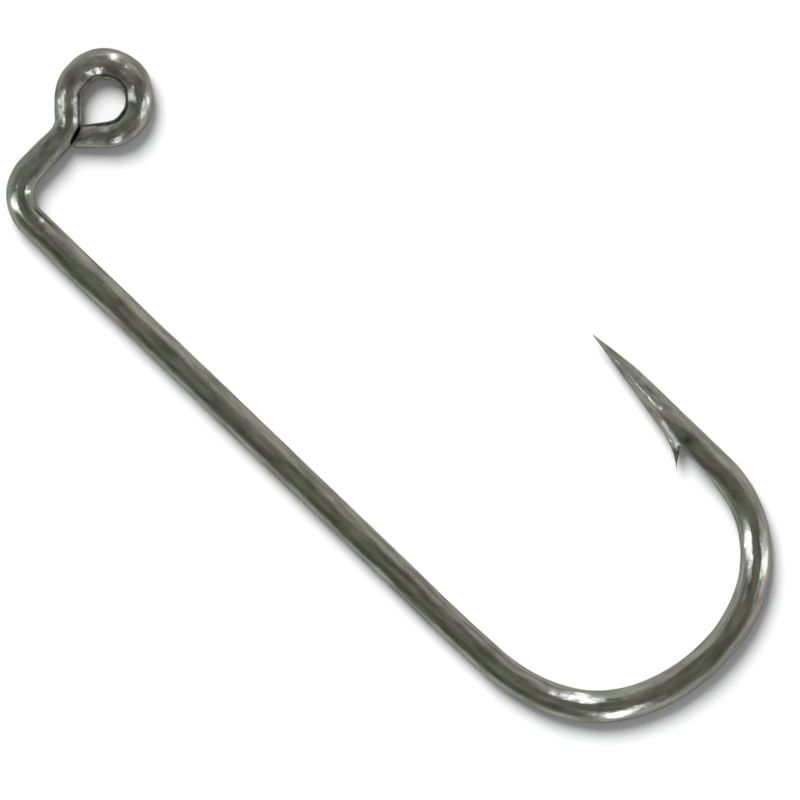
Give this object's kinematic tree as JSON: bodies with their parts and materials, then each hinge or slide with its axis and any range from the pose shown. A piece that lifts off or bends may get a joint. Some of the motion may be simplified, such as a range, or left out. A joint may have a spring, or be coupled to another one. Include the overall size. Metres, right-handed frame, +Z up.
{
  "type": "jig hook",
  "caption": "Bare barbed hook for a jig head: round steel wire with a ring eye on a right-angle neck, a long straight shank, a round bend and a needle point.",
  "frame": {"origin": "centre of the line eye, in the middle of the wire", "axes": "+X along the shank from the eye end towards the bend, +Y towards the side the point is on, +Z up out of the hook's plane, through the eye; the hook lies flat with its underside at Z = -0.625 mm"},
  "size_m": [0.0353, 0.013, 0.0012],
  "materials": {
    "plated_wire": "dark smoky nickel plating over drawn high-carbon wire, semi-bright, with fine drawing streaks",
    "ground_steel": "the same plating over ground and cut faces, with fine grinding marks"
  },
  "bodies": {
    "root": {"eye_ring": "plated_wire", "eye_end": "ground_steel", "eye_lead": "plated_wire", "eye_offset": "plated_wire", "neck": "plated_wire", "jig_bend": "plated_wire", "shank": "plated_wire", "rear_bend": "plated_wire", "front_bend": "plated_wire", "front": "plated_wire", "spear_point": "ground_steel", "barb": "ground_steel"}
  },
  "joints": []
}
